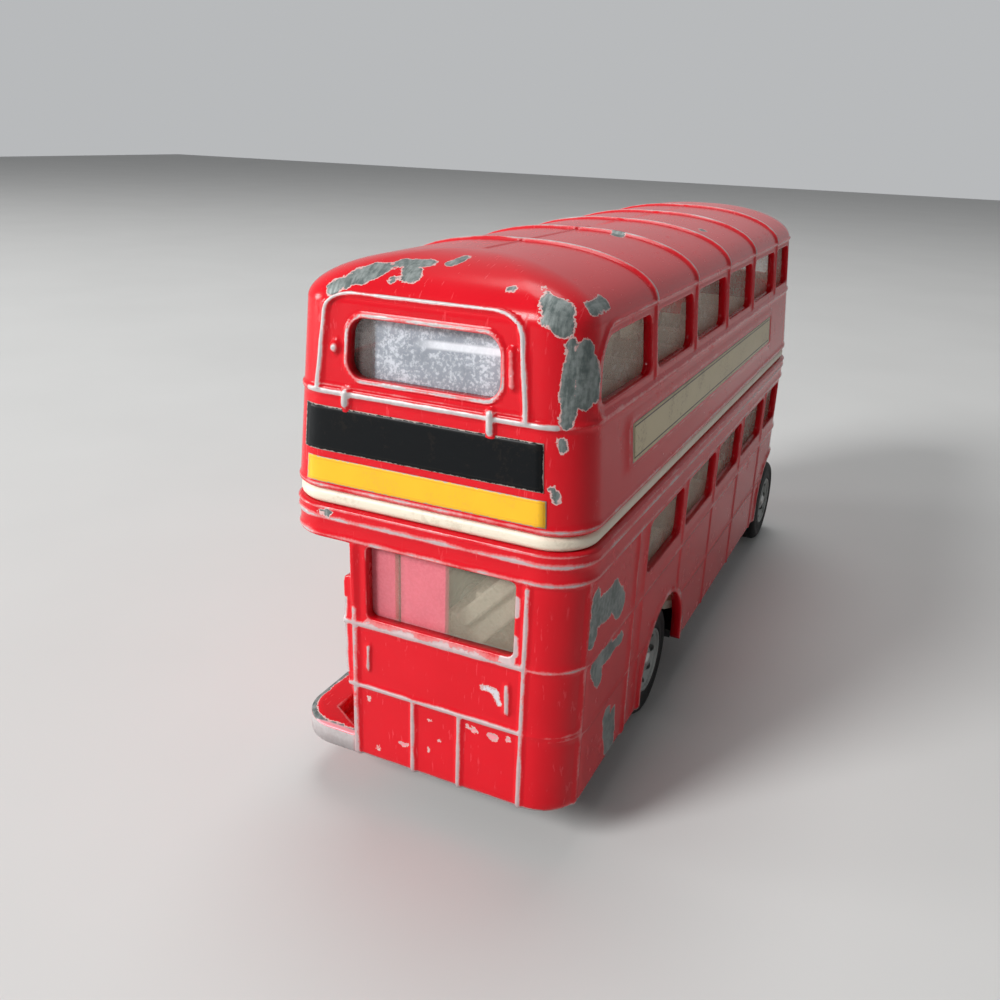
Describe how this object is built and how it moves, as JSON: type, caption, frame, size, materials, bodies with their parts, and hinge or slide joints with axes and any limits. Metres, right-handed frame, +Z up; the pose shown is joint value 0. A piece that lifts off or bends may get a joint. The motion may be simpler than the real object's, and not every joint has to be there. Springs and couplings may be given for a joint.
{
  "type": "toy double decker bus",
  "caption": "Die-cast toy double decker bus with an open rear platform, half cab, cream seats behind clear windows and free-rolling wheel sets on steel axles.",
  "frame": {"origin": "on the ground under the middle of the overall length and width", "axes": "+X forward, +Y to the platform side (nearside), +Z up"},
  "size_m": [0.1207, 0.0376, 0.0664],
  "materials": {
    "red_paint": "gloss enamel over zinc, chipped to bare metal at edges",
    "cream_plastic": "moulded cream plastic, satin",
    "clear_plastic": "clear plastic, lightly scratched",
    "black_plastic": "moulded black plastic",
    "silver_plastic": "plated plastic",
    "steel": "plain steel pin",
    "tyre": "black tyre",
    "wheel_silver": "silver-grey plastic wheel centre"
  },
  "bodies": {
    "body": {"upper_body": "red_paint", "lower_body": "red_paint", "upper_deck_moulding": "cream_plastic", "lower_deck_moulding": "cream_plastic", "upper_glazing": "clear_plastic", "lower_glazing": "clear_plastic", "base_plate": "black_plastic", "radiator_grille": "silver_plastic"},
    "front_wheels": {"front_axle": "steel", "front_tyre_left": "tyre", "front_tyre_right": "tyre", "front_hub_left": "wheel_silver", "front_hub_right": "wheel_silver"},
    "rear_wheels": {"rear_axle": "steel", "rear_tyre_left": "tyre", "rear_tyre_right": "tyre", "rear_hub_left": "wheel_silver", "rear_hub_right": "wheel_silver"}
  },
  "joints": [
    {"name": "front_axle_spin", "type": "hinge", "parent": "body", "child": "front_wheels", "pos_m": [0.0484, 0, 0.0081], "axis": [0, 1, 0], "continuous": true},
    {"name": "rear_axle_spin", "type": "hinge", "parent": "body", "child": "rear_wheels", "pos_m": [-0.0245, 0, 0.0081], "axis": [0, 1, 0], "continuous": true}
  ]
}
